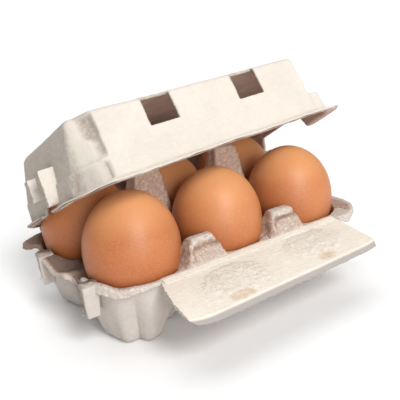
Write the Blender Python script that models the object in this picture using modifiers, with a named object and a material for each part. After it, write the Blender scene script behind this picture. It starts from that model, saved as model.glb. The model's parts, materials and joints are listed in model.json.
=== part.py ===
"""Six-egg moulded pulp carton, open, with its eggs. Sizes are written in millimetres and scaled by MM."""
import math

import bmesh
import bpy
from mathutils import Vector

MM = 0.001

# ---------------------------------------------------------------- sizes, mm
PITCH_X = 48.0            # egg to egg along the carton
ROW_Y = 23.0              # egg rows stand at plus and minus this
SHIFT = Vector((-0.7, 9.15, 0.0))  # puts the middle of the opened carton on the centre lines

WALL = 1.4                # pulp sheet of the tray
RIM_Z = 32.4              # top of the tray's rim
RIM_R = 25.0              # rim around a corner cup
FOOT_R = 15.2             # cup foot
CUP_R = 24.6              # cup under the rim
HOLLOW_R = 22.8           # egg hollow at the rim
CUP_SEG = 24
LOBE = 0.045              # depth of the four flutes, share of the radius

EGG_WIDE_Z = 39.5         # height of the widest girth
EGG_UP = 26.8             # from the girth to the top
EGG_DOWN = 30.0           # from the girth to the bottom
EGG_R = (22.3, 22.0, 22.2, 22.1, 22.0, 22.3)
EGG_TALL = (0.0, -0.3, 0.0, 0.1, -0.2, 0.2)

POST_X = (-25.0, 23.0)
KNOB_X = (-24.2, 23.6)

FOLD_Y = -48.25           # axis of the front flap
FLAP_X = (-49.7, 54.2)
FLAP_LONG = (28.9, 26.4)  # fold to crease, left end and right end
FLAP_DROP = 11.4          # degrees below level
FLAP_T = 1.1
LIP_DROP = 3.3

HINGE_Y = 50.0            # axis of the lid
HINGE_Z = 33.0
LID_OPEN = 27.9           # degrees, as it stands
LID_T = 1.3
LID_DEPTH = 103.9         # hinge to front lip
LID_TWIST = 3.8           # degrees of twist at the front lip
LID_LEAN = 8.0            # lean of the front panel, degrees
LID_TOP = 31.2            # top edge of the panels above the rim
LID_CROWN = 35.2          # flat top above the rim
LEDGE_Z = 9.4
PANEL_X = (-59.5, 54.5)   # ends of the proud front panel
WIN_X = (-28.2, 22.0)
WIN_W = 15.3
WIN_H = 12.4


# ---------------------------------------------------------------- helpers
def fresh_scene():
    for obj in list(bpy.data.objects):
        bpy.data.objects.remove(obj, do_unlink=True)
    for mesh in list(bpy.data.meshes):
        bpy.data.meshes.remove(mesh)


def collection(name, hidden=False):
    coll = bpy.data.collections.new(name)
    bpy.context.scene.collection.children.link(coll)
    coll.hide_render = hidden
    return coll


def material(name, colour, roughness):
    mat = bpy.data.materials.new(name)
    mat.use_nodes = True
    bsdf = mat.node_tree.nodes["Principled BSDF"]
    bsdf.inputs["Base Color"].default_value = (*colour, 1.0)
    bsdf.inputs["Roughness"].default_value = roughness
    bsdf.inputs["Metallic"].default_value = 0.0
    mat.diffuse_color = (*colour, 1.0)
    return mat


def put(name, mesh, coll, mat=None, origin=(0.0, 0.0, 0.0), smooth=35.0):
    """Object whose mesh was made in carton coordinates, with its origin set at `origin`."""
    start = Vector(origin)
    for vert in mesh.vertices:
        vert.co = (vert.co - start) * MM
    obj = bpy.data.objects.new(name, mesh)
    obj.location = (start + SHIFT) * MM
    coll.objects.link(obj)
    if mat:
        mesh.materials.append(mat)
        mesh.shade_smooth()
        mesh.set_sharp_from_angle(angle=math.radians(smooth))
    else:
        obj.display_type = "WIRE"
        obj.hide_render = True
    return obj


def loft(bm, rings, top=True, bottom=True):
    """Skin through rings that run anticlockwise seen from above, lowest ring first."""
    rows = []
    for ring in rings:
        rows.append([bm.verts.new(p) for p in ring])
    count = len(rows[0])
    for low, high in zip(rows[:-1], rows[1:]):
        for i in range(count):
            k = (i + 1) % count
            bm.faces.new((low[i], low[k], high[k], high[i]))
    if bottom:
        bm.faces.new(list(reversed(rows[0])))
    if top:
        bm.faces.new(rows[-1])
    return rows


def finish(bm, name):
    mesh = bpy.data.meshes.new(name)
    bm.to_mesh(mesh)
    bm.free()
    return mesh


def lobed(cx, cy, z, radius, lobe, count=CUP_SEG):
    ring = []
    for i in range(count):
        a = 2.0 * math.pi * i / count
        r = radius * (1.0 + lobe * math.cos(4.0 * a))
        ring.append((cx + r * math.cos(a), cy + r * math.sin(a), z))
    return ring


def block(cx, cy, z, half_x, half_y, chamfer):
    """Rectangle with cut corners, anticlockwise."""
    c = chamfer
    x, y = half_x, half_y
    outline = ((x, -y + c), (x, y - c), (x - c, y), (-x + c, y), (-x, y - c), (-x, -y + c), (-x + c, -y), (x - c, -y))
    return [(cx + px, cy + py, z) for px, py in outline]


def wedge(cx, z, front, back, front_half, back_half):
    """Trapezium that is wide at the front and narrow at the back, anticlockwise, with cut corners."""
    c = 1.6
    f, b = front_half, back_half
    outline = ((f - c, front), (f, front + c), (b, back - c), (b - c, back))
    mirror = [(-px, py) for px, py in reversed(outline)]
    return [(cx + px, py, z) for px, py in list(outline) + mirror]


def boolean(obj, cutter, operation):
    mod = obj.modifiers.new(operation.title() + "_" + cutter.name, "BOOLEAN")
    mod.object = cutter
    mod.operation = operation
    mod.solver = "EXACT"
    return mod


# ---------------------------------------------------------------- tray
def cup_radius(z):
    return FOOT_R + (CUP_R - FOOT_R) * (z / 31.0) ** 0.8


def cup_solid(bm, cx, cy):
    rings = [lobed(cx, cy, 0.0, FOOT_R - 1.3, LOBE)]
    for z in (1.3, 9.0, 20.0, 31.7):
        fade = 1.0 - z / 31.7
        rings.append(lobed(cx, cy, z, cup_radius(min(z, 31.0)), LOBE * fade))
    loft(bm, rings)


def cup_hollow(bm, cx, cy):
    rings = [lobed(cx, cy, 2.1, FOOT_R - 3.2, LOBE)]
    for z in (3.4, 9.0, 20.0):
        fade = 1.0 - z / 31.7
        rings.append(lobed(cx, cy, z, cup_radius(z) - 1.6, LOBE * fade))
    rings.append(lobed(cx, cy, RIM_Z - 0.6, HOLLOW_R - 0.1, 0.0))
    rings.append(lobed(cx, cy, RIM_Z + 0.6, HOLLOW_R, 0.0))
    rings.append(lobed(cx, cy, 75.0, HOLLOW_R, 0.0))
    loft(bm, rings)


def cup_places():
    return [(col * PITCH_X, row * ROW_Y) for row in (-1, 1) for col in (-1, 0, 1)]


def rim_outline():
    """Edge of the rim: round at the left front, cut and notched at the left end, wide at the right."""
    pts = []
    for deg in (205, 218, 231, 244, 257, 270):
        a = math.radians(deg)
        pts.append((-PITCH_X + RIM_R * math.cos(a), -ROW_Y + RIM_R * math.sin(a)))
    pts += [(0.0, -48.0), (55.0, -48.0), (56.2, -50.6), (63.0, -50.2), (70.0, -46.6), (75.4, -41.0)]
    pts += [(78.0, -33.0), (78.0, -25.0), (76.6, -16.0), (76.6, 30.0), (74.5, 38.0), (69.0, 44.5), (60.0, 48.3)]
    pts += [(48.0, 49.1), (-48.0, 49.1), (-60.0, 47.6), (-69.0, 43.4), (-76.0, 37.5), (-75.6, 32.0)]
    pts += [(-74.4, 14.0), (-74.4, -16.4), (-72.2, -24.6)]
    return pts


def make_tray(coll, cutters, mat):
    bm = bmesh.new()
    outline = rim_outline()
    loft(bm, [[(x, y, RIM_Z - WALL) for x, y in outline], [(x, y, RIM_Z) for x, y in outline]])
    tray = put("tray", finish(bm, "tray"), coll, mat)

    places = cup_places()
    for tag, pick in (("cups_a", (0, 2, 4)), ("cups_b", (1, 3, 5))):
        bm = bmesh.new()
        for i in pick:
            cup_solid(bm, *places[i])
        boolean(tray, put(tag, finish(bm, tag), cutters), "UNION")

    bm = bmesh.new()
    for cx in POST_X:
        rings = [block(cx, 0.0, RIM_Z - 0.7, 12.5, 8.0, 2.0), block(cx, 0.0, 45.0, 11.0, 5.6, 1.5)]
        rings += [block(cx, 0.0, 61.0, 8.4, 4.7, 1.4), block(cx, 0.0, 66.6, 6.2, 4.0, 1.3)]
        rings += [block(cx, 0.0, 68.4, 4.2, 2.6, 1.0)]
        loft(bm, rings)
    for cx in KNOB_X:
        rings = [wedge(cx, RIM_Z - 0.7, -46.9, -34.0, 11.0, 9.0), wedge(cx, 37.0, -46.3, -36.6, 9.0, 7.6)]
        rings += [wedge(cx, 41.4, -45.7, -37.6, 7.6, 6.6), wedge(cx, 43.8, -43.8, -39.0, 5.0, 4.2)]
        loft(bm, rings)
    boolean(tray, put("posts_knobs", finish(bm, "posts_knobs"), cutters), "UNION")

    bm = bmesh.new()
    for front, back, low in ((-31.2, -25.2, 18.2), (15.0, 22.0, 17.4)):
        ring = [(-76.3, front), (-68.6, front), (-68.6, back), (-76.3, back)]
        taper = [(-75.0, front + 0.4), (-68.6, front + 0.4), (-68.6, back - 0.4), (-75.0, back - 0.4)]
        loft(bm, [[(x, y, low) for x, y in taper], [(x, y, RIM_Z - 0.3) for x, y in ring]])
    hem = [(56.6, -50.2), (63.4, -49.8), (69.6, -46.4), (68.8, -45.2), (63.0, -48.4), (56.6, -48.8)]
    loft(bm, [[(x, y, 27.6) for x, y in hem], [(x, y, RIM_Z - 0.3) for x, y in hem]])
    boolean(tray, put("end_lugs", finish(bm, "end_lugs"), cutters), "UNION")

    bm = bmesh.new()
    for cx, cy in places:
        cup_hollow(bm, cx, cy)
    boolean(tray, put("egg_hollows", finish(bm, "egg_hollows"), cutters), "DIFFERENCE")

    bm = bmesh.new()
    for cx in POST_X:
        rings = [block(cx, 0.0, 20.0, 6.4, 4.6, 1.0), block(cx, 0.0, 31.0, 6.4, 4.6, 1.0)]
        rings += [block(cx, 0.0, 45.0, 8.6, 4.1, 1.0), block(cx, 0.0, 61.0, 6.8, 3.3, 0.9)]
        rings += [block(cx, 0.0, 66.4, 4.6, 2.5, 0.8)]
        loft(bm, rings)
    for cx in KNOB_X:
        rings = [wedge(cx, 28.0, -46.0, -40.0, 5.5, 3.0), wedge(cx, 37.0, -44.9, -38.6, 6.6, 4.4)]
        rings += [wedge(cx, 42.2, -43.4, -39.8, 4.8, 3.6)]
        loft(bm, rings)
    boolean(tray, put("post_hollows", finish(bm, "post_hollows"), cutters), "DIFFERENCE")

    bm = bmesh.new()
    for low_y, high_y in ((-24.8, -16.8), (22.6, 31.4)):
        mid = 0.5 * (low_y + high_y)
        low = [(-80.0, mid - 1.2), (-69.5, mid - 1.2), (-69.5, mid + 1.2), (-80.0, mid + 1.2)]
        high = [(-80.0, low_y), (-69.5, low_y), (-69.5, high_y), (-80.0, high_y)]
        loft(bm, [[(x, y, 20.0) for x, y in low], [(x, y, RIM_Z + 2.0) for x, y in high]])
    for front, back, low in ((-31.2, -25.2, 18.2), (15.0, 22.0, 17.4)):
        ring = [(-75.1, front + 1.3), (-66.0, front + 1.3), (-66.0, back - 1.3), (-75.1, back - 1.3)]
        taper = [(-73.8, front + 1.5), (-66.0, front + 1.5), (-66.0, back - 1.5), (-73.8, back - 1.5)]
        loft(bm, [[(x, y, low - 4.0) for x, y in taper], [(x, y, RIM_Z - 1.5) for x, y in ring]])
    for i, (cx, cy) in enumerate(places):
        bottom = lobed(cx, cy, -2.0, 8.6, 0.0, 12)
        loft(bm, [bottom, lobed(cx, cy, 0.6, 7.4, 0.0, 12)])
    boolean(tray, put("end_notches", finish(bm, "end_notches"), cutters), "DIFFERENCE")
    return tray


# ---------------------------------------------------------------- eggs
def make_egg(index, place, coll, mat):
    radius = EGG_R[index]
    up = EGG_UP + EGG_TALL[index]
    profile = []
    for i in range(6):
        t = 0.5 * math.pi * (1.0 - i / 5.0)
        profile.append((radius * math.cos(t), EGG_WIDE_Z + up * math.sin(t)))
    for i in range(1, 7):
        t = 0.5 * math.pi * i / 6.0
        profile.append((radius * math.cos(t) ** 1.12, EGG_WIDE_Z - EGG_DOWN * math.sin(t)))
    profile[0] = (0.0, profile[0][1])
    profile[-1] = (0.0, profile[-1][1])
    mesh = bpy.data.meshes.new("egg_profile_%d" % (index + 1))
    verts = [(x, 0.0, z) for x, z in profile]
    edges = [(i, i + 1) for i in range(len(verts) - 1)]
    mesh.from_pydata([((x + place[0]), place[1], z) for x, _, z in verts], edges, [])
    egg = put("egg_%d" % (index + 1), mesh, coll, mat, (place[0], place[1], 0.0))
    screw = egg.modifiers.new("Turned", "SCREW")
    screw.axis = "Z"
    screw.steps = 20
    screw.render_steps = 20
    screw.use_merge_vertices = True
    screw.merge_threshold = 0.00005
    screw.use_normal_calculate = True
    screw.use_smooth_shade = True
    return egg


# ---------------------------------------------------------------- flap
def flap_top(u, v):
    """u runs 0..1 from left to right, v 0..1 from the fold to the crease, then on to 1.15 down the lip."""
    drop = math.radians(FLAP_DROP)
    reach = FLAP_LONG[0] + (FLAP_LONG[1] - FLAP_LONG[0]) * u
    out = min(v, 1.0) * reach
    bulge = 5.4 * math.sin(0.5 * math.pi * min(v, 1.0)) - 16.0 * max(0.0, v - 1.0)
    x0 = FLAP_X[0] - bulge
    x = x0 + (FLAP_X[1] - x0) * u
    y = FOLD_Y - 0.15 - out * math.cos(drop)
    z = RIM_Z - 0.35 - out * math.sin(drop)
    for cx in (-24.0, 29.0):
        d = ((x - cx) / 15.0) ** 2 + ((v - 0.47) / 0.32) ** 2
        if d < 1.0:
            z += 0.7 * (1.0 - d)
    if v > 1.0:
        extra = (v - 1.0) / 0.15
        y -= 1.3 * extra
        z -= LIP_DROP * extra
    return (x, y, z)


def make_flap(coll, mat):
    bm = bmesh.new()
    us = [i / 18.0 for i in range(19)]
    vs = [0.0, 0.12, 0.28, 0.45, 0.62, 0.8, 0.94, 1.0, 1.07, 1.15]
    rows = [[bm.verts.new(flap_top(u, v)) for u in us] for v in vs]
    for a, b in zip(rows[:-1], rows[1:]):
        for i in range(len(us) - 1):
            bm.faces.new((a[i], b[i], b[i + 1], a[i + 1]))
    flap = put("flap", finish(bm, "flap"), coll, mat, (0.0, FOLD_Y, RIM_Z))
    solid = flap.modifiers.new("Sheet", "SOLIDIFY")
    solid.thickness = FLAP_T * MM
    solid.offset = -1.0
    solid.use_even_offset = True
    return flap


# ---------------------------------------------------------------- lid
def lid_point(x, depth, height):
    """Closed-lid place (x, distance towards the front, height over the rim) to carton coordinates, opened."""
    lift = height + x * math.tan(math.radians(LID_TWIST)) * depth / 100.0
    a = math.radians(LID_OPEN)
    y = -math.cos(a) * depth + math.sin(a) * lift
    z = math.sin(a) * depth + math.cos(a) * lift
    return (x, HINGE_Y + y, HINGE_Z + z)


def lid_ring(height, front, back, left, right, step, front_left, front_right, back_left, wave=0.0):
    """One level of the lid, anticlockwise seen from above. The corner pairs are (x, distance) places."""
    xl, xr = PANEL_X
    pts = []
    for k in range(7):
        pts.append((xl + (xr - xl) * k / 6.0, front + wave * math.sin(2.3 * k)))
    pts.append((xr + 1.6, front - 1.4 * step - 0.3))
    pts += list(front_right)
    pts.append((right, 22.0))
    pts.append((right - 7.0, back + 5.4))
    pts.append((right - 20.0, back))
    pts.append((0.0, back))
    pts.append((left + 22.0, back))
    pts += list(back_left)
    pts.append((left, 52.0))
    pts += list(front_left)
    pts.append((xl - 1.6, front - 1.4 * step - 0.3))
    return [lid_point(x, d, height) for x, d in pts]


def lid_box(bm, x, depth, height):
    """Box in closed-lid coordinates, carried through the opening and the twist."""
    (x0, x1), (d0, d1), (h0, h1) = x, depth, height
    low = [lid_point(*p, h0) for p in ((x0, d1), (x1, d1), (x1, d0), (x0, d0))]
    high = [lid_point(*p, h1) for p in ((x0, d1), (x1, d1), (x1, d0), (x0, d0))]
    loft(bm, [low, high])


def lid_rings():
    """Levels from the edge of the lip, over the skirt and the ledge, to the flat top."""
    lean = math.tan(math.radians(LID_LEAN))
    foot = LID_DEPTH - 1.9
    sill = foot - lean * LEDGE_Z
    top = foot - lean * LID_TOP
    return [
        lid_ring(
            1.0, LID_DEPTH, 0.4, -76.0, 77.4, 0.0,
            ((-76.0, 79.0), (-66.5, 97.5)), ((70.5, 102.0), (77.4, 93.0)), ((-66.0, 5.0), (-76.0, 22.0)), 0.35,
        ),
        lid_ring(
            1.7, foot, 1.2, -72.6, 73.2, 0.0,
            ((-72.6, 83.0), (-65.5, 96.0)), ((65.0, 100.0), (73.2, 88.0)), ((-65.5, 6.6), (-72.8, 22.0)),
        ),
        lid_ring(
            LEDGE_Z, sill, 2.0, -72.2, 72.8, 0.2,
            ((-72.2, 85.0), (-66.0, 95.5)), ((63.6, 98.6), (72.6, 86.0)), ((-65.5, 7.0), (-72.6, 22.4)),
        ),
        lid_ring(
            LEDGE_Z + 0.9, sill - 0.2, 2.2, -71.4, 72.2, 1.0,
            ((-71.2, 86.0), (-66.0, 93.0)), ((61.5, 92.5), (71.8, 80.0)), ((-65.2, 7.0), (-72.0, 22.6)),
        ),
        lid_ring(
            LID_TOP, top, 5.6, -69.8, 67.6, 1.0,
            ((-69.8, 90.5), (-65.0, 93.3)), ((58.5, 92.0), (67.6, 80.0)), ((-62.5, 10.0), (-69.8, 31.5)),
        ),
        lid_ring(
            LID_TOP + 1.3, top - 1.3, 6.9, -68.2, 66.0, 0.8,
            ((-68.2, 89.6), (-63.6, 92.2)), ((57.4, 91.0), (66.0, 79.4)), ((-61.6, 11.2), (-68.2, 32.0)),
        ),
        lid_ring(
            LID_CROWN, top - 12.0, 18.0, -58.0, 55.8, 0.0,
            ((-58.0, 79.6), (-57.6, 82.0)), ((56.2, 82.0), (56.0, 74.0)), ((-54.0, 21.0), (-58.0, 36.0)),
        ),
    ]


def make_lid(coll, cutters, mat):
    bm = bmesh.new()
    loft(bm, lid_rings(), top=True, bottom=False)
    origin = (0.0, HINGE_Y, HINGE_Z)
    lid = put("lid", finish(bm, "lid"), coll, mat, origin)
    solid = lid.modifiers.new("Sheet", "SOLIDIFY")
    solid.thickness = LID_T * MM
    solid.offset = -1.0
    solid.use_even_offset = True
    solid.use_rim = True

    bm = bmesh.new()
    lid_box(bm, (-76.6, -70.4), (59.6, 66.2), (0.6, 18.8))
    lid_box(bm, (-76.2, -70.6), (43.0, 48.4), (8.6, 19.6))
    boolean(lid, put("lid_lugs", finish(bm, "lid_lugs"), cutters, None, origin), "UNION")

    bm = bmesh.new()
    front = LID_DEPTH - 1.9 - math.tan(math.radians(LID_LEAN)) * LID_TOP
    for cx in WIN_X:
        lid_box(bm, (cx - 0.5 * WIN_W, cx + 0.5 * WIN_W), (front - 2.4, front + 8.0), (LID_TOP - WIN_H, LID_TOP + 6.0))
    lid_box(bm, (-75.3, -68.6), (60.9, 64.9), (-2.0, 17.4))
    lid_box(bm, (-74.9, -68.6), (44.3, 47.1), (-2.0, 18.2))
    lid_box(bm, (-80.0, -68.0), (49.4, 58.6), (-2.0, 6.2))
    low = [lid_point(x, d, -3.0) for x, d in ((60.0, 75.5), (90.0, 75.5), (90.0, 30.5), (60.0, 30.5))]
    high = [lid_point(x, d, 8.6) for x, d in ((60.0, 70.5), (90.0, 70.5), (90.0, 36.0), (60.0, 36.0))]
    loft(bm, [low, high])
    boolean(lid, put("lid_openings", finish(bm, "lid_openings"), cutters, None, origin), "DIFFERENCE")
    return lid


# ---------------------------------------------------------------- build
def build():
    fresh_scene()
    coll = collection("egg_carton")
    cutters = collection("cutters", hidden=True)
    pulp = material("pulp_tray", (0.58, 0.50, 0.44), 0.95)
    cream = material("pulp_lid", (0.83, 0.77, 0.68), 0.9)
    flap_mat = material("pulp_flap", (0.86, 0.79, 0.69), 0.92)
    shell = [
        material("eggshell_%d" % (i + 1), (0.72 + 0.01 * i, 0.35 + 0.006 * i, 0.17), 0.5)
        for i in range(6)
    ]
    make_tray(coll, cutters, pulp)
    make_lid(coll, cutters, cream)
    make_flap(coll, flap_mat)
    for i, place in enumerate(cup_places()):
        make_egg(i, place, coll, shell[i])


build()
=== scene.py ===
"""Looks of the open egg carton: its pulp lid, front flap and tray, and its six brown eggs.

Lengths are in millimetres and angles in degrees until a mesh is made. Carton coordinates have X along the
three columns, the flap at minus Y and the floor at zero. Lid coordinates are (x, distance from the hinge,
height over the rim) of the shut lid.
"""
import json
import math

import bmesh
import bpy
import numpy as np
from mathutils import Matrix, Vector, noise


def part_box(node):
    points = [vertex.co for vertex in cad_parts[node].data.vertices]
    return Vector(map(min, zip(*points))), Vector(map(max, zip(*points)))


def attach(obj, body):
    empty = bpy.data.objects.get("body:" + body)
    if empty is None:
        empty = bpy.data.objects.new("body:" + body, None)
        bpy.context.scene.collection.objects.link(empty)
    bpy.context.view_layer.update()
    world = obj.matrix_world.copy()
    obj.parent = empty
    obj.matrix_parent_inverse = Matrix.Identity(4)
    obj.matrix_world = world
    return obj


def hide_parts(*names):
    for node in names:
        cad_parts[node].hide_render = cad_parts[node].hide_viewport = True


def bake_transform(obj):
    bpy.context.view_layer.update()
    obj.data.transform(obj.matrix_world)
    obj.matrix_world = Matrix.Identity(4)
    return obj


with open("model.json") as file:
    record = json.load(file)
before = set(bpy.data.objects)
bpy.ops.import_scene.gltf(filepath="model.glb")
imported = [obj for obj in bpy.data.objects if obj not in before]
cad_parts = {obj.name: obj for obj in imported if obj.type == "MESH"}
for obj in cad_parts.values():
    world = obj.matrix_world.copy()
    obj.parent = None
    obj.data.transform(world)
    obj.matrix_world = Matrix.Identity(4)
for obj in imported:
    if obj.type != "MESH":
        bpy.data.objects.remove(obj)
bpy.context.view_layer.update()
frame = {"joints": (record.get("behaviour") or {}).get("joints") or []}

MM = 0.001

# ---------------------------------------------------------------- sizes
PITCH_X = 48.0
ROW_Y = 23.0
WALL = 1.4
RIM_Z = 32.4
RIM_R = 25.0
FOOT_R = 15.2
CUP_R = 24.6
GROOVE = 0.17             # depth of the four grooves up each cup, share of the radius
GROOVE_TURN = math.radians(12.0)

EGG_WIDE_Z = 39.5
EGG_UP = 26.8
EGG_DOWN = 30.0
EGG_R = (22.3, 22.0, 22.2, 22.1, 22.0, 22.3)
EGG_TALL = (0.0, -0.3, 0.0, 0.1, -0.2, 0.2)
EGG_TONE = (0.38, 0.46, 0.44, 0.38, 0.9, 0.55)
EGG_PAINTED_LIGHT_Z = (24.0, 38.0, 51.0, 60.0, 66.0)
EGG_PAINTED_LIGHT = (-0.36, -0.33, -0.15, 0.33, 0.62)    # painted light and shade added to a shell's tone at each of these heights: lighter towards the top, darker towards the bottom

POST_X = (-25.0, 23.0)
KNOB_X = (-24.2, 23.6)
KNOB_BACK = -33.5
POST_REACH = 9.0

FOLD_Y = -48.25
FLAP_X = (-49.7, 54.2)
FLAP_LONG = (28.9, 26.4)
FLAP_DROP = 11.4
FLAP_T = 1.1
LIP_DROP = 3.3
PATCHES = ((-20.5, 0.52), (28.0, 0.44))      # X of each rough patch, and its share of the flap from the fold
PATCH_REACH = (17.0, 0.36)

HINGE_Y = 50.0
HINGE_Z = 33.0
LID_OPEN = 27.9
LID_T = 1.3
LID_DEPTH = 103.9
LID_TWIST = 3.8
LID_LEAN = math.tan(math.radians(8.0))
LID_TOP = 31.2
LID_CROWN = 35.2
LEDGE_Z = 11.0
PANEL_X = (-59.5, 54.5)
WIN_X = (-28.2, 22.0)
WIN_W = 15.3
WIN_H = 12.4
WIN_BACK = 2.4            # how far a window reaches back over the brow
ARCH_TOP = 8.6
NOTCH_TOP = 9.4
LID_FOOT = LID_DEPTH - 1.9
LID_BROW = LID_FOOT - LID_LEAN * LID_TOP

HINGE = Vector(next(j["pos_m"] for j in frame["joints"] if j["name"] == "lid_hinge"))
EGG_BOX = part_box("egg_2")
SHIFT = Vector((0.5 * (EGG_BOX[0].x + EGG_BOX[1].x) / MM, HINGE.y / MM - HINGE_Y, 0.0))


# ---------------------------------------------------------------- shapes as arrays of places
def length_of(rows):
    return np.maximum(np.linalg.norm(rows, axis=-1, keepdims=True), 1e-9)


def soft_path(corners, radii, spacing, closed):
    """Rounds a path's corners and fills its straights; corners and result are (corner, column, xyz)."""
    corners = np.asarray(corners, float)
    count = len(corners)
    arcs = []
    for i in range(count):
        here = corners[i]
        if not closed and i in (0, count - 1):
            arcs.append([here])
            continue
        back = corners[i - 1] - here
        ahead = corners[(i + 1) % count] - here
        cut = np.minimum(radii[i], 0.46 * np.minimum(length_of(back), length_of(ahead)))
        start = here + back / length_of(back) * cut
        stop = here + ahead / length_of(ahead) * cut
        bends = 3 + int(min(radii[i], 8.0) / spacing * 1.2)
        share = np.linspace(0.0, 1.0, bends)
        arcs.append([(1 - s) ** 2 * start + 2 * s * (1 - s) * here + s * s * stop for s in share])
    path = []
    for i in range(count if closed else count - 1):
        path += arcs[i]
        start, stop = arcs[i][-1], arcs[(i + 1) % count][0]
        cuts = int(length_of(stop - start).mean() / spacing)
        path += [start + (stop - start) * k / (cuts + 1) for k in range(1, cuts + 1)]
    if not closed:
        path += arcs[-1]
    return np.array(path)


def unevenness(places, size, seed):
    """Smooth noise of about plus or minus one for each place, with bumps about `size` across."""
    shift = Vector((seed * 7.1, seed * 3.3, seed * 5.7))
    values = [noise.noise(Vector(p) / size + shift) for p in places.reshape(-1, 3)]
    return np.array(values).reshape(places.shape[:-1])


def soft_min(a, b, k):
    h = np.clip(0.5 + 0.5 * (b - a) / k, 0.0, 1.0)
    return b * (1.0 - h) + a * h - k * h * (1.0 - h)


def soft_max(a, b, k):
    return -soft_min(-a, -b, k)


# ---------------------------------------------------------------- meshes
def new_piece(name, vertices, faces, materials=(), attributes=None):
    """Object at the origin whose mesh is given in carton coordinates."""
    mesh = bpy.data.meshes.new(name)
    flat = (np.asarray(vertices, float).reshape(-1, 3) + np.array(SHIFT)) * MM
    mesh.from_pydata(flat.tolist(), [], [list(map(int, f)) for f in faces])
    for key, values in (attributes or {}).items():
        layer = mesh.attributes.new(key, "FLOAT", "POINT")
        layer.data.foreach_set("value", np.asarray(values, np.float32).ravel())
    for mat in materials:
        mesh.materials.append(mat)
    mesh.shade_smooth()
    obj = bpy.data.objects.new(name, mesh)
    bpy.context.scene.collection.objects.link(obj)
    return obj


def grid_faces(rows, columns, closed):
    """Quads of a grid of rows of vertices, wound so that they face away from a closed ring's middle."""
    wide = columns if closed else columns - 1
    r, c = np.meshgrid(np.arange(rows - 1), np.arange(wide), indexing="ij")
    k = (c + 1) % columns
    quads = [r * columns + c, r * columns + k, (r + 1) * columns + k, (r + 1) * columns + c]
    return np.stack(quads, axis=-1).reshape(-1, 4)


def bake(obj):
    """Turns the object's modifiers into plain mesh."""
    graph = bpy.context.evaluated_depsgraph_get()
    mesh = bpy.data.meshes.new_from_object(obj.evaluated_get(graph))
    obj.modifiers.clear()
    obj.data = mesh
    return obj


def thicken(obj, thickness, inner, edge):
    """Gives a sheet its wall, inwards from its outer face, with its own material inside and on its edge."""
    solid = obj.modifiers.new("Sheet", "SOLIDIFY")
    solid.thickness = thickness * MM
    solid.offset = -1.0
    solid.use_quality_normals = True
    solid.material_offset = inner
    solid.material_offset_rim = edge
    bake(obj)
    obj.data.shade_smooth()
    return obj


def merge_close(obj, distance):
    bm = bmesh.new()
    bm.from_mesh(obj.data)
    bmesh.ops.remove_doubles(bm, verts=bm.verts, dist=distance * MM)
    bm.to_mesh(obj.data)
    bm.free()


def join(name, objects):
    """Makes one piece of several, with a material list of its own."""
    bpy.ops.object.select_all(action="DESELECT")
    for obj in objects:
        obj.select_set(True)
    bpy.context.view_layer.objects.active = objects[0]
    bpy.ops.object.join()
    objects[0].name = name
    objects[0].data.name = name
    return objects[0]


# ---------------------------------------------------------------- nodes
def is_socket(value):
    return isinstance(value, bpy.types.NodeSocket)


def add_node(tree, kind, inputs=None, **settings):
    """Adds a node to a tree; each of its inputs is given a socket to be linked with, or a plain value."""
    node = tree.nodes.new(kind)
    for key, value in settings.items():
        setattr(node, key, value)
    for key, value in (inputs or {}).items():
        if is_socket(value):
            tree.links.new(value, node.inputs[key])
        else:
            node.inputs[key].default_value = value
    return node


def calculate(tree, operation, a, b=0.0):
    return add_node(tree, "ShaderNodeMath", {0: a, 1: b}, operation=operation).outputs[0]


def vectors(tree, operation, a, b, key=1):
    return add_node(tree, "ShaderNodeVectorMath", {0: a, key: b}, operation=operation).outputs[0]


def new_form(name, result, inputs):
    """Geometry Nodes tree with its named inputs, each a (name, kind), and the sockets that give them."""
    tree = bpy.data.node_groups.new(name, "GeometryNodeTree")
    tree.interface.new_socket(result, in_out="OUTPUT", socket_type="NodeSocketGeometry")
    for label, kind in inputs:
        tree.interface.new_socket(label, in_out="INPUT", socket_type="NodeSocket" + kind)
    return tree, tree.nodes.new("NodeGroupInput").outputs


def end_form(tree, geometry, material):
    painted = add_node(tree, "GeometryNodeSetMaterial", {"Geometry": geometry, "Material": material})
    add_node(tree, "NodeGroupOutput", {0: painted.outputs[0]})
    return tree


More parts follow.
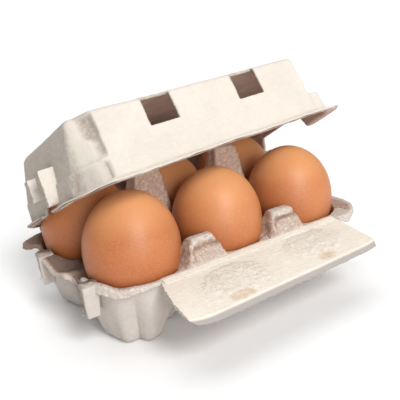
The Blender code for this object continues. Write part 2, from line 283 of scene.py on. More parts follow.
# ---------------------------------------------------------------- materials
class Finish:
    """A material under construction, with short calls for the nodes that a finish is mixed from."""

    def __init__(self, name, roughness):
        self.material = bpy.data.materials.new(name)
        self.material.use_nodes = True
        self.tree = self.material.node_tree
        self.shader = self.tree.nodes["Principled BSDF"]
        self.shader.inputs["Roughness"].default_value = roughness
        self.place = self.add("ShaderNodeTexCoord").outputs["Object"]

    def add(self, kind, inputs=None, **settings):
        return add_node(self.tree, kind, inputs, **settings)

    def noise(self, per_metre, detail=3.0, rough=0.55, warp=0.0, place=None):
        inputs = {"Vector": place or self.place, "Scale": per_metre, "Detail": detail}
        inputs.update({"Roughness": rough, "Distortion": warp})
        return self.add("ShaderNodeTexNoise", inputs).outputs["Fac"]

    def cells(self, per_metre, feature="F1", output="Distance"):
        inputs = {"Vector": self.place, "Scale": per_metre}
        return self.add("ShaderNodeTexVoronoi", inputs, feature=feature).outputs[output]

    def stretched(self, factors, turn):
        inputs = {"Vector": self.place, "Scale": factors, "Rotation": [math.radians(t) for t in turn]}
        return self.add("ShaderNodeMapping", inputs).outputs["Vector"]

    def steps(self, value, low, high, to_low=0.0, to_high=1.0):
        inputs = {"Value": value, "From Min": low, "From Max": high, "To Min": to_low, "To Max": to_high}
        return self.add("ShaderNodeMapRange", inputs, clamp=True).outputs["Result"]

    def math(self, operation, a, b):
        return calculate(self.tree, operation, a, b)

    def mix(self, share, a, b):
        """Colour between a and b, each a socket or plain (red, green, blue)."""
        a, b = (c if is_socket(c) else (*c, 1.0) for c in (a, b))
        return self.add("ShaderNodeMix", {0: share, 6: a, 7: b}, data_type="RGBA").outputs[2]

    def attribute(self, name):
        return self.add("ShaderNodeAttribute", attribute_name=name).outputs["Fac"]

    def bump(self, height, depth, strength, before=None):
        inputs = {"Height": height, "Distance": depth * MM, "Strength": strength}
        if before:
            inputs["Normal"] = before
        return self.add("ShaderNodeBump", inputs).outputs["Normal"]

    def done(self, colour, normal):
        self.tree.links.new(colour, self.shader.inputs["Base Color"])
        self.tree.links.new(normal, self.shader.inputs["Normal"])
        return self.material


def felt_fibres(finish, fineness):
    """Short crossing fibres, as bright streaks between nought and one."""
    streaks = None
    for turn in ((0, 0, 35), (35, 15, 95), (70, 40, 150)):
        place = finish.stretched((fineness, fineness * 4.2, fineness * 2.6), turn)
        strand = finish.steps(finish.noise(1.0, 2.0, 0.5, 0.6, place), 0.55, 0.75)
        streaks = strand if streaks is None else finish.math("MAXIMUM", streaks, strand)
    return streaks


def pulp_finish(name, light, dark, fleck, roughness, relief, pits, specks):
    """Moulded pulp: clouded colour, pale felted fibres, dark pits between them and a few specks."""
    f = Finish(name, roughness)
    f.shader.inputs["Specular IOR Level"].default_value = 0.25
    cloud = f.noise(55.0, 4.0, 0.6, 0.4)
    grain = f.noise(520.0, 4.0, 0.62)
    fibres = felt_fibres(f, 190.0)
    colour = f.mix(f.steps(cloud, 0.34, 0.68), dark, light)
    colour = f.mix(f.steps(grain, 0.35, 0.7, 0.0, 0.35), colour, fleck)
    colour = f.mix(f.math("MULTIPLY", fibres, 0.35), colour, light)
    pits_and_painted_shade = f.math("MULTIPLY", f.steps(f.noise(760.0, 3.0, 0.7, 1.0), 0.36, 0.24), pits)
    colour = f.mix(pits_and_painted_shade, colour, tuple(0.35 * c for c in dark))
    spot = f.steps(f.cells(95.0), 0.07, 0.035)
    rare = f.steps(f.cells(95.0, output="Color"), 0.74, 0.78)
    colour = f.mix(f.math("MULTIPLY", f.math("MULTIPLY", spot, rare), specks), colour, (0.16, 0.11, 0.08))
    normal = f.bump(cloud, 0.5 * relief, 0.5)
    normal = f.bump(grain, 0.28 * relief, 0.8, normal)
    normal = f.bump(fibres, 0.16 * relief, 0.8, normal)
    normal = f.bump(f.math("SUBTRACT", 1.0, pits_and_painted_shade), 0.5 * relief * max(pits, 0.01), 0.8, normal)
    return f, colour, normal


def smooth_cream_pulp():
    """The lid's smooth outer face, rougher where its painted-shade value is high and darker there, as painted
    shade.
    """
    colours = (0.735, 0.675, 0.60), (0.67, 0.61, 0.54), (0.60, 0.54, 0.47)
    f, colour, normal = pulp_finish("smooth_cream_pulp", *colours, 0.86, 0.55, 0.08, 0.55)
    rough = f.steps(f.noise(620.0, 4.0, 0.7, 0.6), 0.36, 0.62, 0.55, 1.0)
    # painted shade: darkened where the lid's painted-shade value is high
    colour = f.mix(f.math("MULTIPLY", f.attribute("pits_and_painted_shade"), rough), colour, (0.37, 0.31, 0.265))
    return f.done(colour, f.bump(rough, 0.25, 0.6, normal))


def flap_pulp():
    """As the lid's smooth face, but greyer where worn, buff where stained, and darkened on the lip as painted
    shade.
    """
    colours = (0.85, 0.79, 0.70), (0.78, 0.715, 0.62), (0.69, 0.61, 0.52)
    f, colour, normal = pulp_finish("flap_pulp", *colours, 0.88, 0.9, 0.3, 0.5)
    scuffs = f.steps(f.noise(420.0, 4.0, 0.7, 0.8), 0.42, 0.66, 0.12, 1.0)
    scuffs = f.math("MULTIPLY", f.attribute("worn"), scuffs)
    colour = f.mix(f.math("MULTIPLY", scuffs, 0.16), colour, (0.50, 0.44, 0.375))
    blots = f.steps(f.noise(260.0, 4.0, 0.65), 0.34, 0.66, 0.3, 1.0)
    colour = f.mix(f.math("MULTIPLY", f.attribute("stain"), blots), colour, (0.62, 0.46, 0.31))
    # painted shade on the lip, which faces down
    colour = f.mix(f.attribute("lip"), colour, (0.37, 0.335, 0.315))
    return f.done(colour, f.bump(f.math("SUBTRACT", 1.0, scuffs), 0.35, 0.7, normal))


def plain_pulp(*look):
    """One of the pulps with nothing added, from the same values as pulp_finish."""
    f, colour, normal = pulp_finish(*look)
    return f.done(colour, normal)


def grey_cup_pulp():
    # darker and greyer than the cream pulp; the difference is painted shade on the cups' walls and the other
    # faces it is given
    colours = (0.60, 0.545, 0.50), (0.52, 0.465, 0.42), (0.45, 0.39, 0.345)
    return plain_pulp("grey_cup_pulp", *colours, 0.9, 0.7, 0.14, 0.4)


def rough_pink_pulp():
    """The felted inner face, fibrous and pitted; its shade value is -1 where painted shade darkens it, 1 where
    cream and 2 where pink.
    """
    colours = (0.70, 0.50, 0.40), (0.47, 0.325, 0.25), (0.30, 0.20, 0.15)
    f, colour, normal = pulp_finish("rough_pink_pulp", *colours, 0.96, 1.5, 0.7, 0.5)
    shade = f.attribute("pulp_tone_and_painted_shade")
    patchy = f.steps(f.noise(500.0, 3.0, 0.7), 0.3, 0.6, 0.72, 1.0)
    tufts = f.steps(f.noise(760.0, 3.0, 0.75, 0.8), 0.47, 0.58)
    # the tint for -1 is painted shade; the cream and pink tints are the pulp's own colours
    for full, tint in ((1.0, (0.74, 0.665, 0.59)), (-1.0, (0.15, 0.115, 0.09)), (2.0, (0.92, 0.66, 0.52))):
        share = f.steps(shade, max(full - 1.0, 0.0), full)
        colour = f.mix(f.math("MULTIPLY", share, patchy), colour, tint)
    strength = f.math("ADD", f.steps(shade, 0.2, 0.8, 0.42, 0.08), f.steps(shade, 1.1, 1.5, 0.0, 0.26))
    colour = f.mix(f.math("MULTIPLY", tufts, strength), colour, (0.24, 0.16, 0.12))
    return f.done(colour, f.bump(f.math("SUBTRACT", 1.0, tufts), 0.4, 0.7, normal))


def brown_lid_lining():
    colours = (0.66, 0.52, 0.45), (0.50, 0.38, 0.32), (0.38, 0.27, 0.225)
    return plain_pulp("brown_lid_lining", *colours, 0.96, 1.2, 0.35, 0.4)


def torn_pulp_edge():
    colours = (0.66, 0.59, 0.52), (0.44, 0.37, 0.32), (0.30, 0.24, 0.20)
    return plain_pulp("torn_pulp_edge", *colours, 0.97, 2.0, 0.85, 0.3)


def brown_eggshell():
    """Matt brown shell, lighter where the mesh's tone is high, with fine pores and faint freckles; that tone
    holds painted light towards the top of each egg and painted shade towards its bottom.
    """
    f = Finish("brown_eggshell", 0.46)
    f.shader.inputs["Specular IOR Level"].default_value = 0.42
    f.shader.inputs["Subsurface Weight"].default_value = 0.12
    f.shader.inputs["Subsurface Radius"].default_value = (0.004, 0.002, 0.001)
    f.shader.inputs["Subsurface Scale"].default_value = 0.6
    cloud = f.noise(38.0, 3.0, 0.5, 0.3)
    pores = f.noise(1500.0, 2.0, 0.6)
    dimples = f.cells(1100.0, feature="SMOOTH_F1")
    deep = (0.44, 0.125, 0.038)
    pale = (0.81, 0.37, 0.15)
    # the tone attribute holds each egg's own tone plus painted light and shade by height
    tone_and_painted_light = f.math("ADD", f.attribute("tone_and_painted_light"), f.steps(cloud, 0.3, 0.7, -0.1, 0.1))
    colour = f.mix(tone_and_painted_light, deep, pale)
    colour = f.mix(f.steps(pores, 0.36, 0.68, 0.0, 0.13), colour, (0.86, 0.49, 0.25))
    blots = f.steps(f.noise(130.0), 0.5, 0.64, 0.0, 0.45)
    freckle = f.math("MULTIPLY", f.steps(f.cells(420.0), 0.16, 0.08), blots)
    colour = f.mix(freckle, colour, (0.50, 0.19, 0.075))
    normal = f.bump(cloud, 0.3, 0.3)
    normal = f.bump(dimples, 0.06, 0.55, normal)
    normal = f.bump(pores, 0.03, 0.6, normal)
    return f.done(colour, normal)


def white_floor():
    f = Finish("white_floor", 0.9)
    f.shader.inputs["Base Color"].default_value = (0.96, 0.96, 0.96, 1.0)
    f.shader.inputs["Emission Color"].default_value = (1.0, 1.0, 1.0, 1.0)
    f.shader.inputs["Emission Strength"].default_value = 0.03
    f.shader.inputs["Specular IOR Level"].default_value = 0.1
    return f.material


# ---------------------------------------------------------------- eggs
def egg_form():
    """Geometry Nodes: an egg of revolution from its girth, its rise to the blunt end and its drop."""
    sizes = [(size, "Float") for size in ("Girth radius", "Rise", "Drop", "Unevenness")]
    inputs = [*sizes, ("Centre", "Vector"), ("Seed", "Float"), ("Shell", "Material")]
    tree, given = new_form("egg_form", "Egg", inputs)

    def calc(operation, a, b=0.0):
        return calculate(tree, operation, a, b)

    ball = add_node(tree, "GeometryNodeMeshUVSphere", {"Segments": 128, "Rings": 72, "Radius": 1.0})
    place = add_node(tree, "GeometryNodeInputPosition").outputs[0]
    x, y, z = add_node(tree, "ShaderNodeSeparateXYZ", {0: place}).outputs
    lower = calc("LESS_THAN", z, 0.0)
    around = calc("SQRT", calc("ADD", calc("MULTIPLY", x, x), calc("MULTIPLY", y, y)))
    thin = calc("POWER", calc("MAXIMUM", around, 0.00001), calc("MULTIPLY", lower, 0.12))
    spread = calc("MULTIPLY", given["Girth radius"], thin)
    rise, drop = given["Rise"], given["Drop"]
    tall = calc("ADD", rise, calc("MULTIPLY", calc("SUBTRACT", drop, rise), lower))
    sides = {0: calc("MULTIPLY", x, spread), 1: calc("MULTIPLY", y, spread), 2: calc("MULTIPLY", z, tall)}
    form = add_node(tree, "ShaderNodeCombineXYZ", sides).outputs[0]

    inputs = {"Scale": 0.9, "Detail": 1.0, "W": given["Seed"]}
    lumps = add_node(tree, "ShaderNodeTexNoise", inputs, noise_dimensions="4D").outputs["Fac"]
    swell = calc("MULTIPLY", calc("SUBTRACT", lumps, 0.5), given["Unevenness"])
    normal = add_node(tree, "GeometryNodeInputNormal").outputs[0]
    total = vectors(tree, "ADD", form, vectors(tree, "SCALE", normal, swell, "Scale"))

    inputs = {"Geometry": ball.outputs["Mesh"], "Position": total}
    shaped = add_node(tree, "GeometryNodeSetPosition", inputs).outputs[0]
    inputs = {"Geometry": shaped, "Offset": given["Centre"]}
    moved = add_node(tree, "GeometryNodeSetPosition", inputs).outputs[0]
    smooth = add_node(tree, "GeometryNodeSetShadeSmooth", {0: moved}).outputs[0]
    real = add_node(tree, "GeometryNodeRealizeInstances", {0: smooth}).outputs[0]
    return end_form(tree, real, given["Shell"])


def grow(name, tree, values, start=None):
    """Runs a Geometry Nodes tree once and keeps its result as a plain mesh at the origin."""
    mesh = start or bpy.data.meshes.new(name)
    obj = bpy.data.objects.new(name, mesh)
    bpy.context.scene.collection.objects.link(obj)
    nodes = obj.modifiers.new("Grown", "NODES")
    nodes.node_group = tree
    sockets = {item.name: item.identifier for item in tree.interface.items_tree if item.in_out == "INPUT"}
    for key, value in values.items():
        nodes[sockets[key]] = value
    return bake(obj)


def frayed_edge():
    """Geometry Nodes: short bent fibres along a line, standing in a given direction with a given scatter."""
    sizes = [(size, "Float") for size in ("Spacing", "Length", "Radius", "Scatter")]
    inputs = [("Line", "Geometry"), *sizes, ("Direction", "Vector"), ("Seed", "Int"), ("Pulp", "Material")]
    tree, given = new_form("frayed_edge", "Fibres", inputs)
    path = add_node(tree, "GeometryNodeMeshToCurve", {"Mesh": given["Line"]}).outputs[0]
    inputs = {"Curve": path, "Length": given["Spacing"]}
    stops = add_node(tree, "GeometryNodeResampleCurve", inputs, mode="LENGTH").outputs[0]
    inputs = {"Vertices": 4, "Side Segments": 3, "Radius Top": 0.35, "Radius Bottom": 1.0, "Depth": 1.0}
    fibre = add_node(tree, "GeometryNodeMeshCone", inputs).outputs["Mesh"]

    inputs = {"Min": (-1.0, -1.0, -1.0), "Seed": given["Seed"]}
    turn = add_node(tree, "FunctionNodeRandomValue", inputs, data_type="FLOAT_VECTOR").outputs[0]
    spread = vectors(tree, "SCALE", turn, given["Scatter"], "Scale")
    lean = vectors(tree, "ADD", given["Direction"], spread)
    aim = add_node(tree, "FunctionNodeAlignRotationToVector", {"Vector": lean}, axis="Z").outputs[0]
    inputs = {2: 0.25, 3: 1.0, "Seed": given["Seed"]}
    long = add_node(tree, "FunctionNodeRandomValue", inputs, data_type="FLOAT").outputs[1]
    tall = calculate(tree, "MULTIPLY", long, given["Length"])
    size = add_node(tree, "ShaderNodeCombineXYZ", {0: given["Radius"], 1: given["Radius"], 2: tall}).outputs[0]
    inputs = {"Points": stops, "Instance": fibre, "Rotation": aim, "Scale": size}
    stand = add_node(tree, "GeometryNodeInstanceOnPoints", inputs).outputs[0]
    real = add_node(tree, "GeometryNodeRealizeInstances", {0: stand}).outputs[0]

    bend = add_node(tree, "ShaderNodeTexNoise", {"Scale": 900.0, "Detail": 0.0}).outputs["Color"]
    amount = vectors(tree, "SUBTRACT", bend, (0.5, 0.5, 0.5))
    inputs = {"Geometry": real, "Offset": vectors(tree, "SCALE", amount, given["Length"], "Scale")}
    bent = add_node(tree, "GeometryNodeSetPosition", inputs).outputs[0]
    return end_form(tree, bent, given["Pulp"])


def fray(name, runs, body, pulp):
    """Fibres along several lines; a run is (places in carton coordinates, direction, spacing, length)."""
    tree = bpy.data.node_groups.get("frayed_edge") or frayed_edge()
    tufts = []
    for i, (line, direction, spacing, length) in enumerate(runs):
        flat = (np.asarray(line, float) + np.array(SHIFT)) * MM
        mesh = bpy.data.meshes.new("line")
        mesh.from_pydata(flat.tolist(), [(k, k + 1) for k in range(len(flat) - 1)], [])
        sizes = {"Spacing": spacing * MM, "Length": length * MM, "Radius": 0.09 * MM, "Scatter": 0.75}
        sizes.update({"Direction": direction, "Seed": 5 + i, "Pulp": pulp})
        tufts.append(grow("%s_%d" % (name, i), tree, sizes, mesh))
    piece = join(name, tufts) if len(tufts) > 1 else tufts[0]
    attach(piece, body)


def hinge_strip(name, path, ends, pulp):
    """Thin bent band of pulp that joins two bodies along a crease; path is (y, z) across it."""
    line = soft_path([[(ends[0], y, z), (ends[1], y, z)] for y, z in path], [0.5] * len(path), 0.5, False)
    along = np.linspace(0.0, 1.0, 120)[None, :, None]
    places = line[:, :1] * (1.0 - along) + line[:, 1:] * along
    rows, columns = places.shape[:2]
    places[..., 1] += 0.1 * unevenness(places, 5.0, 21)
    places[..., 2] += 0.1 * unevenness(places, 3.0, 22)
    faces = grid_faces(rows, columns, False)
    pulp_tone_and_painted_shade = np.full(rows * columns, 0.8)
    strip = new_piece(name, places.reshape(-1, 3), faces, (pulp,), {"pulp_tone_and_painted_shade": pulp_tone_and_painted_shade})
    thicken(strip, 0.45, 0, 0)
    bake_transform(strip)


def make_hinges(finishes):
    back = ((50.5, 31.2), (51.0, 32.6), (51.3, 34.0), (51.1, 35.6), (50.9, 36.8))
    hinge_strip("lid_hinge_strip", back, (60.0, -62.0), finishes["cup"])
    front = ((-46.4, 32.35), (-47.6, 32.5), (-48.4, 32.4), (-49.4, 32.05), (-50.8, 31.6))
    hinge_strip("flap_hinge_strip", front, (-49.2, 53.6), finishes["flap"])


def make_fibres(finishes):
    steps = np.linspace(0.0, 1.0, 24)
    dip = [math.sin(math.pi * t) for t in steps]
    slot = [(-75.0 + 5.0 * d, -8.4 - 12.0 * t, 29.0 - 8.0 * d) for t, d in zip(steps, dip)]
    lug = [(-77.0, -31.0 + 5.8 * (t % 0.5) * 2.0, 31.5 - 13.0 * t) for t in steps]
    rear_lug = [(-76.7, 15.2 + 5.8 * (t % 0.5) * 2.0, 31.5 - 13.0 * t) for t in steps]
    corner = [(-76.0 + 3.0 * t, 31.0 + 12.0 * t, 30.6 + 1.5 * t) for t in steps]
    left, down = (-0.9, -0.2, 0.1), (-0.3, 0.0, -1.0)
    runs = [(slot, down, 0.7, 1.5), (lug, left, 0.5, 1.0)]
    runs += [(rear_lug, left, 0.5, 1.0), (corner, left, 0.6, 1.4)]
    fray("tray_fibres", runs, "tray", finishes["edge"])

    def on_lid(rows):
        return open_lid(np.array(rows, float))

    tail = on_lid([(-73.2, 20.0 + 25.0 * t, 1.2 + 1.0 * math.sin(9.0 * t)) for t in steps])
    slit = on_lid([(-73.0, 45.0 + 8.6 * t, 0.4 + 8.6 * t) for t in steps])
    runs = [(tail, down, 0.6, 1.8), (slit, (-0.4, -0.6, -0.3), 0.6, 1.4)]
    for cx in WIN_X:
        top = [(cx + WIN_W * (t - 0.5), LID_BROW - 2.2, LID_TOP + 0.7) for t in steps]
        side = [(cx - 0.5 * WIN_W, LID_BROW + LID_LEAN * WIN_H * t, LID_TOP - WIN_H * t) for t in steps]
        runs += [(on_lid(top), (0.1, -0.4, -0.8), 0.5, 0.9), (on_lid(side), (0.9, 0.0, 0.2), 0.9, 0.7)]
    lip = on_lid([(-70.0 + 128.0 * t, LID_DEPTH - 0.6, 0.7) for t in np.linspace(0.0, 1.0, 80)])
    runs.append((lip, (0.0, -0.5, -0.8), 1.1, 0.55))
    fray("lid_fibres", runs, "lid", finishes["edge"])
    edge, end = (flap_places(np.full(24, u), np.linspace(0.05, 1.0, 24)) - (0.0, 0.0, 0.5) for u in (0.0, 1.0))
    runs = [(edge, (-0.9, -0.2, -0.2), 0.35, 1.2), (end, (0.9, 0.0, 0.0), 0.8, 0.6)]
    fray("flap_fibres", runs, "flap", finishes["edge"])


def cup_places():
    return [(col * PITCH_X, row * ROW_Y) for row in (-1, 1) for col in (-1, 0, 1)]


def make_eggs(shell):
    tree = egg_form()
    for i, (x, y) in enumerate(cup_places()):
        centre = (Vector((x, y, EGG_WIDE_Z)) + SHIFT) * MM
        sizes = {"Girth radius": EGG_R[i] * MM, "Rise": (EGG_UP + EGG_TALL[i]) * MM, "Drop": EGG_DOWN * MM}
        sizes.update({"Unevenness": 0.5 * MM, "Centre": centre, "Seed": 3.0 + 1.7 * i, "Shell": shell})
        egg = grow("eggshell_%d" % (i + 1), tree, sizes)
        tone_and_painted_light = egg.data.attributes.new("tone_and_painted_light", "FLOAT", "POINT")
        places = np.empty(3 * len(egg.data.vertices), np.float32)
        egg.data.vertices.foreach_get("co", places)
        # painted light and shade by height: each egg's own tone is raised towards its top and lowered towards
        # its bottom
        painted_light = np.interp(places[2::3] / MM, EGG_PAINTED_LIGHT_Z, EGG_PAINTED_LIGHT)
        tone_and_painted_light.data.foreach_set("value", (EGG_TONE[i] + painted_light).astype(np.float32))
        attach(egg, "tray")
        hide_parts("egg_%d" % (i + 1))


# ---------------------------------------------------------------- tray
def cup_floor(r):
    """Height of a cup's inside at a distance from its middle."""
    wall = 1.2 + 31.2 * (np.maximum(r + 1.6 - FOOT_R, 0.0) / (CUP_R - FOOT_R)) ** 1.25
    base = np.where(r < 8.6, 1.9, 1.4)
    return soft_max(wall, base, 3.0)


def cup_surface(x, y, cx, cy):
    dx, dy = x - cx, y - cy
    r = np.hypot(dx, dy)
    turn = np.arctan2(dy, dx) - GROOVE_TURN
    diagonal = (turn % (0.5 * math.pi)) - 0.25 * math.pi
    groove = np.exp(-((diagonal / 0.16) ** 2))
    lobe = np.exp(-(((np.abs(diagonal) - 0.34) / 0.16) ** 2))
    z = cup_floor(r)
    for _ in range(3):
        fade = np.clip(1.15 - z / 30.0, 0.0, 1.0)
        z = cup_floor(r / (1.0 + fade * (0.01 + 0.075 * lobe - GROOVE * groove)))
    return z


def steps_of(distance, stops):
    """Height from a falling list of (distance, height) stops."""
    places, heights = zip(*stops)
    return np.interp(distance, places, heights)


def post_surface(x, y, cx):
    sides = ((5.4, 68.4), (6.7, 67.0), (7.8, 61.0), (10.2, 49.0), (11.6, 41.0), (13.4, RIM_Z), (40.0, -40.0))
    faces = ((2.8, 68.4), (3.7, 67.0), (4.6, 61.0), (5.7, 45.0), (8.0, RIM_Z), (30.0, -60.0))
    return soft_min(steps_of(np.abs(x - cx), sides), steps_of(np.abs(y), faces), 1.0)


def knob_surface(x, y, cx):
    sides = ((4.6, 44.3), (6.3, 43.3), (7.1, 40.9), (8.0, 39.8), (9.8, 35.0), (12.2, RIM_Z - 1.0))
    sides += ((40.0, -40.0),)
    front = ((42.9, 44.3), (44.2, 43.4), (44.8, 40.9), (45.6, 39.9), (47.2, 35.2), (48.4, RIM_Z - 1.0))
    front += ((60.0, -40.0),)
    back = ((-40.2, 44.3), (-38.4, 42.6), (-37.0, 39.0), (-35.8, 34.0), (-10.0, -60.0))
    side = steps_of(np.abs(x - cx), sides)
    return soft_min(soft_min(side, steps_of(-y, front), 0.7), steps_of(y, back), 1.2)


def rim_level(x, y):
    """The rim's height: sunk between the lugs, deep beside them and raised at the left back corner."""
    z = np.full_like(x, RIM_Z)
    left = np.clip((-62.0 - x) / 5.0, 0.0, 1.0)
    z -= 3.4 * left * np.exp(-(((y - 2.0) / 9.5) ** 2))
    z -= 12.0 * left * np.exp(-(((y + 13.4) / 3.2) ** 2))
    z -= 5.0 * left * np.exp(-(((y - 27.0) / 1.8) ** 2))
    z += 0.4 * np.exp(-(((x + 70.0) / 7.0) ** 2 + ((y - 34.0) / 5.0) ** 2))
    z -= 1.3 * np.exp(-(((x + 66.0) / 4.5) ** 2 + ((y + 41.0) / 4.5) ** 2))
    z += 0.8 * np.exp(-(((x + 71.5) / 4.0) ** 2 + ((y + 33.0) / 4.0) ** 2))
    return z


def tray_height(x, y):
    """The tray's upper face: rim, saddles between the cups, cups, posts and knobs, blended as pulp is."""
    z = rim_level(x, y)
    for cx, cy in ((-24.0, -23.0), (24.0, -23.0), (-24.0, 23.0), (24.0, 23.0)):
        z -= 5.0 * np.exp(-(((x - cx) / 6.0) ** 2 + ((y - cy) / 7.5) ** 2))
    for cx in (0.0, 48.0):
        z -= 6.0 * np.exp(-(((x - cx) / 8.0) ** 2 + (y / 6.0) ** 2))
    z -= 8.5 * np.exp(-(((x + 50.0) / 13.0) ** 2 + ((y - 0.5) / 9.0) ** 2))
    for cx, cy in cup_places():
        z = soft_min(z, cup_surface(x, y, cx, cy), 1.5)
    for cx in POST_X:
        z = soft_max(z, post_surface(x, y, cx), 2.0)
    for cx in KNOB_X:
        z = soft_max(z, knob_surface(x, y, cx), 1.2)
    return z


def rim_round(degrees):
    """Places on the rim's round corner about the left front cup."""
    return [(-PITCH_X + RIM_R * math.cos(a), -ROW_Y + RIM_R * math.sin(a)) for a in np.radians(degrees)]


def rim_sides():
    """The rim's outline as four sides: front, right end, back and left end with its two notches."""
    around = rim_round(range(225, 271, 5))
    front = around + [(0.0, -48.1), (54.0, -48.1), (56.2, -50.2), (63.0, -50.0), (69.6, -47.0)]
    right = [(69.6, -47.0), (75.4, -41.0), (78.0, -33.0), (78.0, -25.0), (76.6, -16.0), (76.8, 30.0)]
    right += [(74.5, 38.0), (69.0, 44.0)]
    back = [(-67.0, 45.2), (-60.0, 47.9), (-48.0, 49.2), (48.0, 49.2), (60.0, 48.3), (69.0, 44.0)]
    left = [around[0]] + rim_round(range(218, 196, -7))
    left += [(-73.6, -24.6), (-72.2, -18.6), (-69.8, -13.6), (-69.6, -12.2), (-70.4, -10.8), (-75.0, -8.4)]
    left += [(-75.9, 2.0), (-76.0, 21.6), (-74.6, 23.6), (-70.2, 26.2), (-69.7, 27.4), (-70.2, 28.8)]
    left += [(-73.6, 33.0), (-75.6, 39.4), (-71.4, 43.0), (-67.0, 45.2)]
    return front, right, back, left


def even_points(path, count):
    path = np.array(path, float)
    run = np.concatenate([[0.0], np.cumsum(np.hypot(*np.diff(path, axis=0).T))])
    at = np.linspace(0.0, run[-1], count)
    return np.stack([np.interp(at, run, path[:, 0]), np.interp(at, run, path[:, 1])], axis=-1)


def looked_up(table, corner, cell, x, y):
    """Values of a square raster at places between its points."""
    i = np.clip((x - corner[0]) / cell, 0.0, table.shape[1] - 1.001)
    j = np.clip((y - corner[1]) / cell, 0.0, table.shape[0] - 1.001)
    i0, j0 = i.astype(int), j.astype(int)
    fi, fj = i - i0, j - j0
    low = table[j0, i0] * (1 - fi) + table[j0, i0 + 1] * fi
    high = table[j0 + 1, i0] * (1 - fi) + table[j0 + 1, i0 + 1] * fi
    return low * (1 - fj) + high * fj


def spread_even(x, y, rounds):
    """Slides the grid's inner points towards steep ground, so that the steep faces have rows enough."""
    cell, corner = 0.75, (-82.0, -56.0)
    across, along = np.meshgrid(np.arange(corner[0], 84.0, cell), np.arange(corner[1], 56.0, cell))
    down, aside = np.gradient(tray_height(across, along), cell)
    steep = np.clip(np.sqrt(1.0 + down ** 2 + aside ** 2), 1.0, 4.0)
    for _ in range(5):
        padded = np.pad(steep, 1, mode="edge")
        steep = 0.2 * (steep + padded[:-2, 1:-1] + padded[2:, 1:-1] + padded[1:-1, :-2] + padded[1:-1, 2:])
    inner, before, after = slice(1, -1), slice(0, -2), slice(2, None)
    here = (inner, inner)
    around = ((before, inner), (after, inner), (inner, before), (inner, after))
    for _ in range(rounds):
        w = looked_up(steep, corner, cell, x, y)
        pull_x, pull_y, weight = 0.0, 0.0, 0.0
        for there in around:
            share = w[here] + w[there]
            pull_x = pull_x + share * x[there]
            pull_y = pull_y + share * y[there]
            weight = weight + share
        x[here] += 0.6 * (pull_x / weight - x[here])
        y[here] += 0.6 * (pull_y / weight - y[here])
    return x, y


def tray_grid(columns, rows):
    front, right, back, left = rim_sides()
    f, b = even_points(front, columns), even_points(back, columns)
    r, l = even_points(right, rows), even_points(left, rows)
    u = np.linspace(0.0, 1.0, columns)[None, :, None]
    v = np.linspace(0.0, 1.0, rows)[:, None, None]
    flat = (1 - v) * f[None] + v * b[None] + (1 - u) * l[:, None] + u * r[:, None]
    flat -= (1 - u) * (1 - v) * f[0] + u * (1 - v) * f[-1] + (1 - u) * v * b[0] + u * v * b[-1]
    return flat[..., 0].copy(), flat[..., 1].copy()


def rim_hem(x, y):
    """How far the rim's edge is turned down: most round the left front cup and the right front corner."""
    turn = np.degrees(np.arctan2(y + ROW_Y, x + PITCH_X)) % 360.0
    first_cup = np.interp(turn, (180.0, 203.0, 225.0, 240.0, 262.0, 275.0), (4.6, 4.8, 3.6, 2.8, 1.6, 1.1))
    drop = np.where((x < -46.0) & (y < -23.0), first_cup, 1.6)
    drop += 3.0 * np.exp(-(((x - 62.5) / 6.0) ** 2)) * (y < -44.0)
    drop += 1.8 * np.exp(-(((x + 73.0) / 6.0) ** 2 + ((y - 38.0) / 6.0) ** 2))
    return drop


def tray_tone_and_painted_shade(points, gap):
    """Tone of the felted face, from -1 to 2: high on the posts, the knobs' caps and the rim, low inside; the
    lit knob caps are painted light, and the values below nought in the saddle, the back left corner, deep in
    the cups and under the knobs' caps are painted shade.
    """
    x, y, z = points[:, 0], points[:, 1], points[:, 2]
    pale = np.clip(1.35 - gap / 3.2, 0.0, 1.0)
    front = (y < -41.0) & (np.abs(x - 8.0) < 58.0)
    pale = np.where(front, np.maximum(pale, 1.0), pale)
    # painted shade on the saddle between the left lugs and in the back left corner
    saddle = (x < -55.0) & (y > -21.0) & (y < 22.0)
    pale = np.where(saddle, np.clip(0.8 - gap / 1.2, -0.75, 1.0), pale)
    pale = np.where((x < -50.0) & (y >= 22.0), -0.55, pale)
    # painted shade deep in the cups
    pale = np.where(z < 26.0, -0.3, pale)
    # painted light on the knobs' caps and painted shade in the crease under them
    knobs = (y < KNOB_BACK) & (z > RIM_Z + 0.6)
    knob_painted_light_and_shade = np.interp(z, (33.0, 39.0, 39.8, 40.6, 41.4, 44.0), (0.55, 0.45, -0.6, -0.6, 0.9, 1.0))
    pale = np.where(knobs, knob_painted_light_and_shade, pale)
    streaks = 0.35 * unevenness(points * np.array([1.0, 1.0, 0.3]), 1.3, 23)
    streaks += 0.25 * unevenness(points, 3.0, 24)
    left_face = knobs & ((x + 26.0 < -4.0) & (x < 0.0) | (x - 21.6 < -4.0) & (x > 0.0))
    pale = np.where(left_face, 0.2 + 2.4 * streaks, pale)
    posts = (np.abs(y) < POST_REACH) & (z > RIM_Z + 1.0) & (np.abs(x) < 40.0)
    return np.where(posts, np.interp(z, (34.0, 50.0, 68.0), (1.5, 1.9, 2.0)) + 1.2 * streaks, pale)


def turned_hem(loop, around, start):
    """The rim's edge turned down: rings of places under a loop, and the faces that join them to it."""
    drop = rim_hem(loop[:, 0], loop[:, 1]) + 0.35 * unevenness(loop, 2.2, 3) + 0.35 * unevenness(loop, 6.0, 7)
    outwards = loop[:, :2] / length_of(loop[:, :2])
    rings, chain = [], [np.array(around)]
    for share, lean in ((0.1, 0.38), (0.3, 0.66), (0.74, 0.72), (0.88, 1.05), (1.0, 0.86)):
        ring = loop.copy()
        ring[:, :2] += outwards * lean
        ring[:, 2] -= drop * share
        chain.append(start + len(rings) * len(loop) + np.arange(len(loop)))
        rings.append(ring)
    faces = []
    for upper, lower in zip(chain[:-1], chain[1:]):
        quads = (upper, lower, np.roll(lower, -1), np.roll(upper, -1))
        faces += np.stack(quads, axis=-1).tolist()
    return np.vstack(rings), faces


